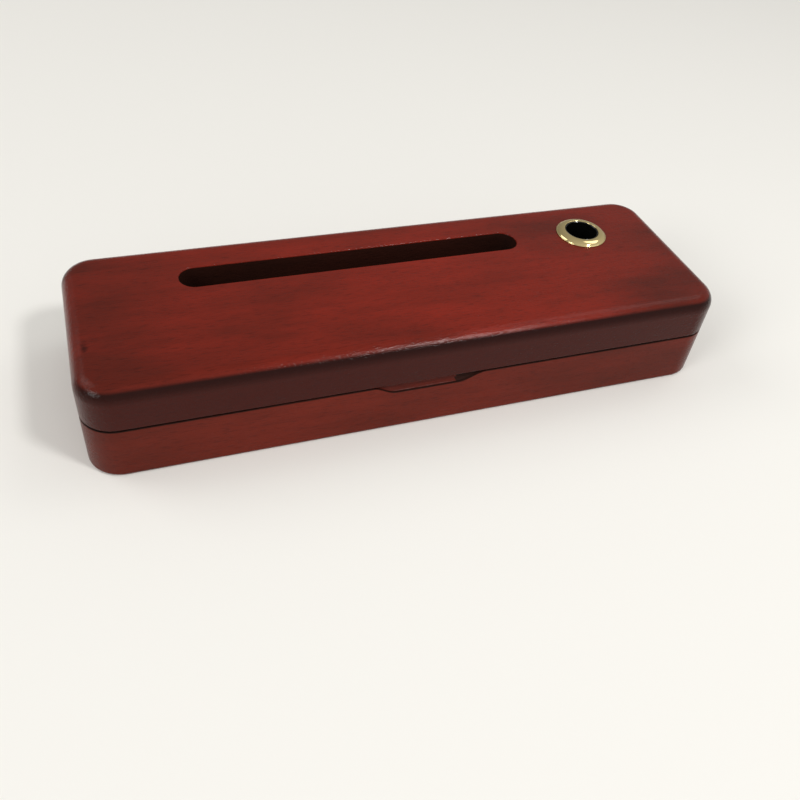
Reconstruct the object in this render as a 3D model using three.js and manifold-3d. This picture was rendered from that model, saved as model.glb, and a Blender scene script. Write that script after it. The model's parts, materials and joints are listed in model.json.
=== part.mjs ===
// Fountain pen case: a rosewood box with a hinged lid. The lid's thick rear half holds an
// upright rest slot and a plated pen hole; its hollow front half covers the pen in the tray.
//
// Millimetres. +X runs along the case, +Y to the back where the hinges are, +Z up.
// The origin is the centre of the underside.

import * as THREE from 'three';
import Module from 'manifold-3d';
import { mergeVertices } from 'three/addons/utils/BufferGeometryUtils.js';

const wasm = await Module();
wasm.setup();

// ---------------------------------------------------------------- driving dimensions

const CASE_LENGTH = 170;
const CASE_WIDTH = 54;
const CASE_HEIGHT = 27;
const CORNER_RADIUS = 8.3;
const BASE_HEIGHT = 14.8;
const SEAM_GAP = 0.4;
const LID_EDGE_RADIUS = 4;
const BASE_EDGE_RADIUS = 1;
const FIT_GAP = 0.3;

const WALL = 6;
const REAR_WALL = 9;
const BASE_FLOOR = 3;
const CAVITY_CORNER = 4;

const SLOT = { x: -9.3, y: 11.6, length: 95, width: 8.4, depth: 9 };
const PEN_HOLE = { x: 59.2, y: 10.6, radius: 4.55 };
const NOTCH = { left: -16, right: 14.8, leftRun: 5.1, rightRun: 8.3, height: 2.3, depth: 1.4 };
const RECESS = { back: 2.5, depth: 6.5 };

const HINGE = { x: 50, length: 20, inset: 1.8, barrelRadius: 1.5, pinRadius: 0.7, boreRadius: 0.8 };
const LEAF = { thickness: 0.8, front: 5.8, barrelClearance: 1.9, middleKnuckle: 8 };
const SCREW = {
  spacing: 12, y: -3.8, headRadius: 1.3, headDepth: 0.75, headEdge: 0.1, shankRadius: 0.7,
  length: 5.2, tipLength: 1.2, slotWidth: 0.4, slotDepth: 0.3, sink: 0.05,
};
const RIM_CHAMFER_DEG = 51;

const MAGNET = { x: 62, radius: 2, height: 2 };

const TRAY = { bottom: BASE_FLOOR + FIT_GAP, top: BASE_HEIGHT - 1 };
const PEN_GROOVE = { x: 0, y: -8.5, length: 148, radius: 7.2, axisZ: 11.8 };
const REFILL_GROOVE = { x: -16, y: 10.6, length: 108, radius: 5, axisZ: 11.2 };
const FINGER_RELIEF = { halfLength: 17, front: -19.3, back: 4, floor: 7.5, corner: 9 };

const FERRULE = {
  flangeRadius: 7.35, neckRadius: 5.95, counterboreRadius: 5.35,
  neckDepth: 4, rimHeight: 1.25, rimWidth: 0.5, rimBevel: 0.15,
  edgeHeight: 0.35, edgeBevel: [0.3, 0.2], lipThickness: 0.55, seatGap: 0.06,
};
const SLEEVE_WALL = 0.5;
const SOCKET = { radius: 5.8, wall: 1.1, floor: 1, flangeRadius: 7, flangeHeight: 0.6 };
const LINING = { thickness: 2.5, margin: 0.5 };

// ---------------------------------------------------------------- derived dimensions

const LID_HEIGHT = CASE_HEIGHT - BASE_HEIGHT - SEAM_GAP;
const LID_BOTTOM = BASE_HEIGHT + SEAM_GAP;
const HALF_LENGTH = CASE_LENGTH / 2;
const HALF_WIDTH = CASE_WIDTH / 2;
const CAVITY = {
  x: HALF_LENGTH - WALL,
  front: -HALF_WIDTH + WALL,
  back: HALF_WIDTH - REAR_WALL,
};
const HINGE_Y = HALF_WIDTH - HINGE.inset;
const HINGE_Z = BASE_HEIGHT + SEAM_GAP / 2;
const MAGNET_Y = -HALF_WIDTH + WALL / 2;
const OVERCUT = 2;

// ---------------------------------------------------------------- finishes

const finish = (color, roughness, metalness = 0) =>
  new THREE.MeshStandardMaterial({ color, roughness, metalness });

const ROSEWOOD = finish('#6b2a22', 0.35);
const DARK_ROSEWOOD = finish('#5a241e', 0.35);
const GOLD_PLATE = finish('#d8c08a', 0.15, 1);
const HINGE_BRASS = finish('#c9a550', 0.3, 1);
const BLACK_PLASTIC = finish('#0c0b0b', 0.3);
const BLACK_FLOCK = finish('#171415', 0.95);
const LINING_VELVET = finish('#1b1717', 0.9);
const NICKEL = finish('#b9babb', 0.25, 1);

// ---------------------------------------------------------------- solids

/** A closed three.js geometry as a Manifold solid. */
function toSolid(geometry) {
  const bare = geometry.clone();
  bare.deleteAttribute('normal');
  bare.deleteAttribute('uv');
  const merged = mergeVertices(bare, 1e-5);
  const corners = [];
  for (let i = 0; i < merged.index.count; i += 3) {
    const [a, b, c] = [0, 1, 2].map((k) => merged.index.getX(i + k));
    if (a !== b && b !== c && c !== a) corners.push(a, b, c);
  }
  return new wasm.Manifold(new wasm.Mesh({
    numProp: 3,
    vertProperties: Float32Array.from(merged.attributes.position.array),
    triVerts: Uint32Array.from(corners),
  }));
}

/** A Manifold solid as a three.js geometry. */
function toGeometry(solid) {
  const { vertProperties, triVerts } = solid.getMesh();
  const geometry = new THREE.BufferGeometry();
  geometry.setAttribute('position', new THREE.BufferAttribute(vertProperties, 3));
  geometry.setIndex(new THREE.BufferAttribute(triVerts, 1));
  geometry.computeVertexNormals();
  return geometry;
}

const cutAll = (solid, cutters) => cutters.reduce((rest, cutter) => rest.subtract(cutter), solid);

/** A box from its extents. */
function block(x0, x1, y0, y1, z0, z1) {
  const geometry = new THREE.BoxGeometry(x1 - x0, y1 - y0, z1 - z0);
  geometry.translate((x0 + x1) / 2, (y0 + y1) / 2, (z0 + z1) / 2);
  return toSolid(geometry);
}

/** A rectangle outline with round corners. */
function roundedRect(x0, x1, y0, y1, radius) {
  const shape = new THREE.Shape();
  shape.moveTo(x0 + radius, y0);
  shape.absarc(x1 - radius, y0 + radius, radius, -Math.PI / 2, 0);
  shape.absarc(x1 - radius, y1 - radius, radius, 0, Math.PI / 2);
  shape.absarc(x0 + radius, y1 - radius, radius, Math.PI / 2, Math.PI);
  shape.absarc(x0 + radius, y0 + radius, radius, Math.PI, Math.PI * 1.5);
  return shape;
}

/** A slot outline with fully round ends, along X. */
const stadium = (x, y, length, width) => roundedRect(
  x - length / 2, x + length / 2, y - width / 2, y + width / 2, width / 2 - 1e-3);

/** An outline in XY raised from z0 to z1. */
function upright(shape, z0, z1, curveSegments = 8) {
  const geometry = new THREE.ExtrudeGeometry(shape, { depth: z1 - z0, bevelEnabled: false, curveSegments });
  geometry.translate(0, 0, z0);
  return toSolid(geometry);
}

/** An outline given in (Y, Z), drawn out along X from x0 to x1. */
function alongX(shape, x0, x1) {
  const geometry = new THREE.ExtrudeGeometry(shape, { depth: x1 - x0, bevelEnabled: false });
  const [x, y, z] = [[1, 0, 0], [0, 1, 0], [0, 0, 1]].map((v) => new THREE.Vector3(...v));
  geometry.applyMatrix4(new THREE.Matrix4().makeBasis(y, z, x));
  geometry.translate(x0, 0, 0);
  return toSolid(geometry);
}

/** A closed profile of [radius, z] points, in either direction, turned about the Z axis. */
function turned(profile, segments = 32) {
  const points = profile.map(([radius, z]) => new THREE.Vector2(radius, z));
  if (THREE.ShapeUtils.area(points) < 0) points.reverse();
  const geometry = new THREE.LatheGeometry(points, segments);
  geometry.rotateX(Math.PI / 2);
  return toSolid(geometry);
}

/** A cylinder with an upright axis. */
function post(x, y, radius, z0, z1, segments = 24) {
  const geometry = new THREE.CylinderGeometry(radius, radius, z1 - z0, segments);
  geometry.rotateX(Math.PI / 2);
  geometry.translate(x, y, (z0 + z1) / 2);
  return toSolid(geometry);
}

/** A cylinder along X about the point (y, z). */
function rod(radius, x0, x1, y = 0, z = 0, segments = 24) {
  const geometry = new THREE.CylinderGeometry(radius, radius, x1 - x0, segments);
  geometry.rotateZ(Math.PI / 2);
  geometry.translate((x0 + x1) / 2, y, z);
  return toSolid(geometry);
}

/** The case's outline as a block, with its upper and lower edges rounded over. */
function caseBlock(edgeRadius, z0, z1, bevelSegments) {
  const inset = edgeRadius;
  const outline = roundedRect(-HALF_LENGTH + inset, HALF_LENGTH - inset,
    -HALF_WIDTH + inset, HALF_WIDTH - inset, CORNER_RADIUS - inset);
  const geometry = new THREE.ExtrudeGeometry(outline, {
    depth: z1 - z0 - 2 * edgeRadius,
    bevelEnabled: true,
    bevelThickness: edgeRadius,
    bevelSize: edgeRadius,
    bevelSegments,
    curveSegments: 8,
  });
  geometry.translate(0, 0, z0 + edgeRadius);
  return toSolid(geometry);
}

/** A round-bottomed groove along X, open above, to lay something long in. */
function grooveCutter({ x, y, length, radius, axisZ }) {
  const trough = new THREE.CapsuleGeometry(radius, length - 2 * radius, 6, 24);
  trough.rotateZ(Math.PI / 2);
  trough.translate(x, y, axisZ);
  const mouth = upright(stadium(x, y, length, 2 * radius), axisZ, TRAY.top + OVERCUT, 12);
  return toSolid(trough).add(mouth);
}

// ---------------------------------------------------------------- cuts for the hinges

/** The rear rim's slanted face: where base and lid meet when the lid stands open. */
function rimChamfer(side) {
  const reach = HINGE.inset + OVERCUT;
  const rise = reach * Math.tan(THREE.MathUtils.degToRad(RIM_CHAMFER_DEG));
  const start = side * SEAM_GAP / 2;
  const wedge = new THREE.Shape([
    new THREE.Vector2(HINGE_Y, HINGE_Z + start),
    new THREE.Vector2(HINGE_Y + reach, HINGE_Z + start + side * rise),
    new THREE.Vector2(HINGE_Y + reach, HINGE_Z - side * OVERCUT),
    new THREE.Vector2(HINGE_Y, HINGE_Z - side * OVERCUT),
  ]);
  return alongX(wedge, -HALF_LENGTH - OVERCUT, HALF_LENGTH + OVERCUT);
}

/** Mortise, barrel groove and pilot holes for one leaf; side is 1 in the lid, -1 in the base. */
function hingeCutters(hingeX, side) {
  const half = HINGE.length / 2 + FIT_GAP;
  const rim = HINGE_Z + side * SEAM_GAP / 2;
  const floor = rim + side * (LEAF.thickness + FIT_GAP);
  const outside = rim - side * OVERCUT;
  const levels = (a, b) => [Math.min(a, b), Math.max(a, b)];
  const mortise = block(hingeX - half, hingeX + half,
    HINGE_Y - LEAF.front - FIT_GAP, HINGE_Y, ...levels(floor, outside));
  const barrel = rod(HINGE.barrelRadius + FIT_GAP, hingeX - half, hingeX + half, HINGE_Y, HINGE_Z);
  const pilots = [-1, 1].map((end) => post(
    hingeX + end * SCREW.spacing / 2, HINGE_Y + SCREW.y, SCREW.shankRadius + FIT_GAP,
    ...levels(floor - side * OVERCUT, rim + side * (SCREW.length + FIT_GAP)), 16));
  return [mortise, barrel, ...pilots];
}

const HINGES = [['left', -HINGE.x], ['right', HINGE.x]];

/** Pockets for the catch magnets, sunk from the rim. */
const magnetPockets = (rim, floor) => [-1, 1].map((end) => post(
  end * MAGNET.x, MAGNET_Y, MAGNET.radius + FIT_GAP, Math.min(rim, floor), Math.max(rim, floor)));

// ---------------------------------------------------------------- the wooden box

function baseBox() {
  const outside = caseBlock(BASE_EDGE_RADIUS, 0, CASE_HEIGHT, 3)
    .subtract(block(-HALF_LENGTH - 1, HALF_LENGTH + 1, -HALF_WIDTH - 1, HALF_WIDTH + 1,
      BASE_HEIGHT, CASE_HEIGHT + 1));
  const cavity = upright(roundedRect(-CAVITY.x, CAVITY.x, CAVITY.front, CAVITY.back, CAVITY_CORNER),
    BASE_FLOOR, BASE_HEIGHT + OVERCUT);
  return cutAll(outside, [
    cavity,
    fingerNotch(),
    rimChamfer(-1),
    ...HINGES.flatMap(([, x]) => hingeCutters(x, -1)),
    ...magnetPockets(BASE_HEIGHT + OVERCUT, BASE_HEIGHT - MAGNET.height - FIT_GAP),
  ]);
}

/** The finger notch in the front rim: a short curved left end and a long easy right end. */
function fingerNotch() {
  const rim = BASE_HEIGHT;
  const floor = rim - NOTCH.height;
  const shape = new THREE.Shape();
  shape.moveTo(NOTCH.left, rim + OVERCUT);
  shape.lineTo(NOTCH.left, rim);
  shape.bezierCurveTo(NOTCH.left + NOTCH.leftRun * 0.6, rim,
    NOTCH.left + NOTCH.leftRun * 0.5, floor, NOTCH.left + NOTCH.leftRun, floor);
  shape.lineTo(NOTCH.right - NOTCH.rightRun, floor);
  shape.bezierCurveTo(NOTCH.right - NOTCH.rightRun * 0.6, floor,
    NOTCH.right - NOTCH.rightRun * 0.4, rim, NOTCH.right, rim);
  shape.lineTo(NOTCH.right, rim + OVERCUT);
  const geometry = new THREE.ExtrudeGeometry(shape, {
    depth: NOTCH.depth + OVERCUT, bevelEnabled: false, curveSegments: 8,
  });
  geometry.rotateX(Math.PI / 2);
  geometry.translate(0, -HALF_WIDTH + NOTCH.depth, 0);
  return toSolid(geometry);
}

function lid() {
  const rounded = caseBlock(LID_EDGE_RADIUS, LID_BOTTOM - 2 * LID_EDGE_RADIUS, CASE_HEIGHT, 6);
  const underside = block(-HALF_LENGTH - 1, HALF_LENGTH + 1, -HALF_WIDTH - 1, HALF_WIDTH + 1,
    0, LID_BOTTOM);
  const recess = upright(roundedRect(-CAVITY.x, CAVITY.x, CAVITY.front, RECESS.back, CAVITY_CORNER),
    LID_BOTTOM - OVERCUT, LID_BOTTOM + RECESS.depth);
  const slot = upright(stadium(SLOT.x, SLOT.y, SLOT.length, SLOT.width),
    CASE_HEIGHT - SLOT.depth, CASE_HEIGHT + OVERCUT, 12);
  const hole = post(PEN_HOLE.x, PEN_HOLE.y, FERRULE.neckRadius + FIT_GAP,
    LID_BOTTOM - OVERCUT, CASE_HEIGHT + OVERCUT, 32);
  return cutAll(rounded.subtract(underside), [
    recess,
    slot,
    hole,
    rimChamfer(1),
    ...HINGES.flatMap(([, x]) => hingeCutters(x, 1)),
    ...magnetPockets(LID_BOTTOM - OVERCUT, LID_BOTTOM + MAGNET.height + FIT_GAP),
  ]);
}

// ---------------------------------------------------------------- the pen hole

/** Plated collar: a low cone from a raised inner rim down to a thin edge on the lid. */
function penHoleFerrule() {
  const rim = FERRULE.rimHeight;
  return turned([
    [PEN_HOLE.radius, rim - FERRULE.lipThickness],
    [FERRULE.counterboreRadius, rim - FERRULE.lipThickness],
    [FERRULE.counterboreRadius, -FERRULE.neckDepth],
    [FERRULE.neckRadius, -FERRULE.neckDepth],
    [FERRULE.neckRadius, FERRULE.seatGap],
    [FERRULE.flangeRadius, FERRULE.seatGap],
    [FERRULE.flangeRadius, FERRULE.edgeHeight],
    [FERRULE.flangeRadius - FERRULE.edgeBevel[0], FERRULE.edgeHeight + FERRULE.edgeBevel[1]],
    [PEN_HOLE.radius + FERRULE.rimWidth, rim],
    [PEN_HOLE.radius + FERRULE.rimBevel, rim],
    [PEN_HOLE.radius, rim - FERRULE.rimBevel],
    [PEN_HOLE.radius, rim - FERRULE.lipThickness],
  ], 48);
}

/** Moulded sleeve that lines the lid below and behind the ferrule's lip. */
function penHoleSleeve() {
  const bore = PEN_HOLE.radius;
  const top = FERRULE.rimHeight - FERRULE.lipThickness - FIT_GAP;
  const shoulder = -FERRULE.neckDepth - FIT_GAP;
  const bottom = -LID_HEIGHT + FIT_GAP;
  return turned([
    [bore, bottom],
    [FERRULE.neckRadius, bottom],
    [FERRULE.neckRadius, shoulder],
    [bore + SLEEVE_WALL, shoulder],
    [bore + SLEEVE_WALL, top],
    [bore, top],
    [bore, bottom],
  ], 48);
}

/** Moulded cup in the tray, under the sleeve, that takes the pen's tip. */
function penSocket() {
  const top = TRAY.top + FIT_GAP / 2 + SOCKET.flangeHeight;
  const inner = SOCKET.radius - SOCKET.wall;
  return turned([
    [0, TRAY.bottom],
    [SOCKET.radius, TRAY.bottom],
    [SOCKET.radius, top - SOCKET.flangeHeight],
    [SOCKET.flangeRadius, top - SOCKET.flangeHeight],
    [SOCKET.flangeRadius, top],
    [inner, top],
    [inner, TRAY.bottom + SOCKET.floor],
    [0, TRAY.bottom + SOCKET.floor],
  ]);
}

// ---------------------------------------------------------------- tray and lining

function penTray() {
  const outline = roundedRect(-CAVITY.x + FIT_GAP, CAVITY.x - FIT_GAP,
    CAVITY.front + FIT_GAP, CAVITY.back - FIT_GAP, CAVITY_CORNER - FIT_GAP);
  const relief = roundedRect(-FINGER_RELIEF.halfLength, FINGER_RELIEF.halfLength,
    FINGER_RELIEF.front, FINGER_RELIEF.back, FINGER_RELIEF.corner);
  return cutAll(upright(outline, TRAY.bottom, TRAY.top), [
    grooveCutter(PEN_GROOVE),
    grooveCutter(REFILL_GROOVE),
    upright(relief, FINGER_RELIEF.floor, TRAY.top + OVERCUT),
    post(PEN_HOLE.x, PEN_HOLE.y, SOCKET.radius + FIT_GAP, 0, BASE_HEIGHT, 32),
  ]);
}

/** Soft pad under the ceiling of the lid's recess. */
function lidLining() {
  const top = RECESS.depth - FIT_GAP;
  return upright(roundedRect(-CAVITY.x + LINING.margin, CAVITY.x - LINING.margin,
    CAVITY.front + LINING.margin, RECESS.back - LINING.margin, CAVITY_CORNER - LINING.margin),
  top - LINING.thickness, top);
}

// ---------------------------------------------------------------- hinges

/** The X stretches of the knuckles: the lid's is in the middle, the base's at the ends. */
function knuckleSpans(side) {
  const end = HINGE.length / 2;
  const middle = LEAF.middleKnuckle / 2;
  const gap = FIT_GAP;
  return side > 0 ? [[-middle, middle]] : [[-end, -middle - gap], [middle + gap, end]];
}

/** One leaf about its own pin axis; side is 1 for the lid's leaf, -1 for the base's. */
function hingeLeaf(side) {
  const end = HINGE.length / 2;
  const near = side * SEAM_GAP / 2;
  const levels = [near, near + side * LEAF.thickness].sort((a, b) => a - b);
  let leaf = block(-end, end, -LEAF.front, -LEAF.barrelClearance, ...levels);
  for (const [x0, x1] of knuckleSpans(side)) {
    leaf = leaf.add(block(x0, x1, -LEAF.barrelClearance - 1, 0, ...levels));
    leaf = leaf.add(rod(HINGE.barrelRadius, x0, x1));
  }
  const bore = rod(HINGE.boreRadius, -end - OVERCUT, end + OVERCUT);
  const sinks = [-1, 1].map((x) => turned([
    [0, near - side * OVERCUT],
    [SCREW.headRadius + FIT_GAP, near - side * OVERCUT],
    [SCREW.headRadius + FIT_GAP, near],
    [SCREW.shankRadius + FIT_GAP, near + side * LEAF.thickness],
    [SCREW.shankRadius + FIT_GAP, near + side * OVERCUT],
    [0, near + side * OVERCUT],
  ], 24).translate([x * SCREW.spacing / 2, SCREW.y, 0]));
  return cutAll(leaf, [bore, ...sinks]);
}

const hingePin = () => rod(HINGE.pinRadius, -HINGE.length / 2 + FIT_GAP, HINGE.length / 2 - FIT_GAP);

/** Countersunk screw, head up, with its head's top at the origin and a driver slot. */
function leafScrew() {
  const { headRadius, headDepth, headEdge, shankRadius, length, tipLength } = SCREW;
  const body = turned([
    [0, -length],
    [shankRadius / 2, -length + tipLength / 2],
    [shankRadius, -length + tipLength],
    [shankRadius, -headDepth],
    [headRadius, -headEdge],
    [headRadius, 0],
    [0, 0],
  ], 16);
  const slot = block(-headRadius - OVERCUT, headRadius + OVERCUT,
    -SCREW.slotWidth / 2, SCREW.slotWidth / 2, -SCREW.slotDepth, OVERCUT);
  return body.subtract(slot);
}

const magnetDisc = () => post(0, 0, MAGNET.radius, 0, MAGNET.height);

// ---------------------------------------------------------------- assembly

const penCase = new THREE.Group();

/** Adds a named mesh to a group, at a place and turned about X. */
function place(group, name, solid, material, position = [0, 0, 0], turnX = 0) {
  const mesh = new THREE.Mesh(toGeometry(solid), material);
  mesh.name = name;
  mesh.position.set(...position);
  mesh.rotation.x = turnX;
  group.add(mesh);
}

place(penCase, 'base_box', baseBox(), ROSEWOOD);
place(penCase, 'pen_tray', penTray(), BLACK_FLOCK);
place(penCase, 'pen_socket', penSocket(), BLACK_PLASTIC, [PEN_HOLE.x, PEN_HOLE.y, 0]);

place(penCase, 'lid', lid(), DARK_ROSEWOOD);
place(penCase, 'lid_lining', lidLining(), LINING_VELVET, [0, 0, LID_BOTTOM]);
place(penCase, 'pen_hole_ferrule', penHoleFerrule(), GOLD_PLATE, [PEN_HOLE.x, PEN_HOLE.y, CASE_HEIGHT]);
place(penCase, 'pen_hole_sleeve', penHoleSleeve(), BLACK_PLASTIC, [PEN_HOLE.x, PEN_HOLE.y, CASE_HEIGHT]);

for (const [side, x] of HINGES) {
  const hinge = new THREE.Group();
  hinge.position.set(x, HINGE_Y, HINGE_Z);
  penCase.add(hinge);
  place(hinge, `${side}_hinge_base_leaf`, hingeLeaf(-1), HINGE_BRASS);
  place(hinge, `${side}_hinge_lid_leaf`, hingeLeaf(1), HINGE_BRASS);
  place(hinge, `${side}_hinge_pin`, hingePin(), HINGE_BRASS);
  for (const [end, screwX] of [['a', -SCREW.spacing / 2], ['b', SCREW.spacing / 2]]) {
    const head = SEAM_GAP / 2 + SCREW.sink;
    place(hinge, `${side}_base_screw_${end}`, leafScrew(), HINGE_BRASS, [screwX, SCREW.y, -head]);
    place(hinge, `${side}_lid_screw_${end}`, leafScrew(), HINGE_BRASS, [screwX, SCREW.y, head], Math.PI);
  }
}

for (const [side, x] of [['left', -MAGNET.x], ['right', MAGNET.x]]) {
  place(penCase, `${side}_base_magnet`, magnetDisc(), NICKEL, [x, MAGNET_Y, BASE_HEIGHT - MAGNET.height]);
  place(penCase, `${side}_lid_magnet`, magnetDisc(), NICKEL, [x, MAGNET_Y, LID_BOTTOM]);
}

export default penCase;
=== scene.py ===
"""Looks of a fountain pen case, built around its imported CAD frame.

The case is a rosewood box with a hinged lid. Its lid carries an upright rest slot and a plated pen
hole, and a flocked tray, a padded lining, two butt hinges and four catch magnets are inside.

Everything is in metres in the case's own frame: +X along the case, +Y to the hinges and +Z up.
"""

import json
import logging
import math
from collections.abc import Iterable, Iterator, Sequence
from contextlib import contextmanager
from dataclasses import dataclass, field
from enum import Enum
from typing import Any

import bmesh
import bpy
from mathutils import Matrix, Quaternion, Vector, geometry


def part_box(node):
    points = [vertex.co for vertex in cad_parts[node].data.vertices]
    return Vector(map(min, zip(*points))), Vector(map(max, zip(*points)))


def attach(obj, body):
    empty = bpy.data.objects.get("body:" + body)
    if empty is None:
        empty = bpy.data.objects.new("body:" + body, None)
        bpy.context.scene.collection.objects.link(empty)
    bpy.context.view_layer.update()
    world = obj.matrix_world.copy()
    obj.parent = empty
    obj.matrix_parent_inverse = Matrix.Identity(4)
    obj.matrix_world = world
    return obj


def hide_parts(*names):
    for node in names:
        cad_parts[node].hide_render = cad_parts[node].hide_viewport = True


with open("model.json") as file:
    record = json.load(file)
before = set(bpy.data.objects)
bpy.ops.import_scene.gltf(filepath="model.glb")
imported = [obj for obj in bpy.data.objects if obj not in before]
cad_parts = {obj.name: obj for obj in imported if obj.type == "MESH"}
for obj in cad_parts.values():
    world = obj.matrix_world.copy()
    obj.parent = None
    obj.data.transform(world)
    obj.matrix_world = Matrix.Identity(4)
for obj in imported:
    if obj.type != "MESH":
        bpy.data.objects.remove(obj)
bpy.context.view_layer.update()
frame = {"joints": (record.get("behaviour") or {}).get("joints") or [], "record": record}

MM = 0.001
# Points closer than this are one point: a turned piece's seam or a leftover of cutting.
SLIVER = 0.001 * MM
# Too small to see, but enough to keep the two ends of a half circle apart.
HAIR = 0.01 * MM
LOG = logging.getLogger("pen_case")


class Body(Enum):
    """The two halves that move against each other, by their names in the frame."""

    BASE = "base"
    LID = "lid"

    @property
    def away(self) -> int:
        """The way from the seam into the half: 1 is up, -1 is down."""
        return 1 if self is Body.LID else -1


class End(Enum):
    """The two ends of the case, where hinges and magnets repeat."""

    LEFT = "left"
    RIGHT = "right"


def node_centre(node: str) -> Vector:
    """The middle of a CAD node's box at rest."""
    low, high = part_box(node)
    return (low + high) / 2


def turns(steps: int, last: float = math.pi / 2) -> list[float]:
    """Even turns from 0 to the last one, a quarter circle unless it is given."""
    return [last * step / steps for step in range(steps + 1)]


def opening(name: str) -> tuple[Vector, Vector]:
    """The lowest and highest corners of an opening that the record states.

    Args:
        name: the opening's name in physics.openings.

    Returns:
        Both corners.
    """
    found = next(o for o in frame["record"]["physics"]["openings"] if o["name"] == name)
    low, high = found["box_m"]
    return Vector(low), Vector(high)


# ------------------------------------------------------------------------------- solids


@dataclass(frozen=True)
class Outline:
    """A rounded rectangle seen from above, at one height."""

    low: tuple[float, float]
    high: tuple[float, float]
    corner: float
    z: float

    def grown(self, by: float, z: float) -> "Outline":
        """The outline moved out all round.

        Args:
            by: how far out, or in if it is negative.
            z: the new outline's height.

        Returns:
            The new outline.
        """
        low = (self.low[0] - by, self.low[1] - by)
        high = (self.high[0] + by, self.high[1] + by)
        return Outline(low, high, self.corner + by, z)

    def rounded_in(self, radius: float, rise: float, steps: int = 8) -> list["Outline"]:
        """Outlines that close in over a round edge of a quarter circle.

        Args:
            radius: the edge's radius.
            rise: 1 if the edge is at the top, -1 if it is at the bottom.
            steps: how many strips the edge has.

        Returns:
            Outlines from the upright wall to the flat face.
        """
        return [
            self.grown(-radius * (1 - math.cos(turn)), self.z + rise * radius * math.sin(turn))
            for turn in turns(steps)
        ]

    def flared_out(self, radius: float, rise: float, steps: int = 4) -> list["Outline"]:
        """Outlines of a cutter that leaves a round rim where it comes out of a flat face.

        Args:
            radius: the rim's radius.
            rise: 1 if the cutter comes out upwards, -1 if downwards.
            steps: how many strips the rim has.

        Returns:
            Outlines from the straight wall to just outside the face.
        """
        last, reach = math.radians(72), 0.6 * MM
        rings = [
            self.grown(radius * (1 - math.cos(turn)), self.z + rise * radius * math.sin(turn))
            for turn in turns(steps, last)
        ]
        return rings + [rings[-1].grown(reach, rings[-1].z + rise * reach / math.tan(last))]


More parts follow.
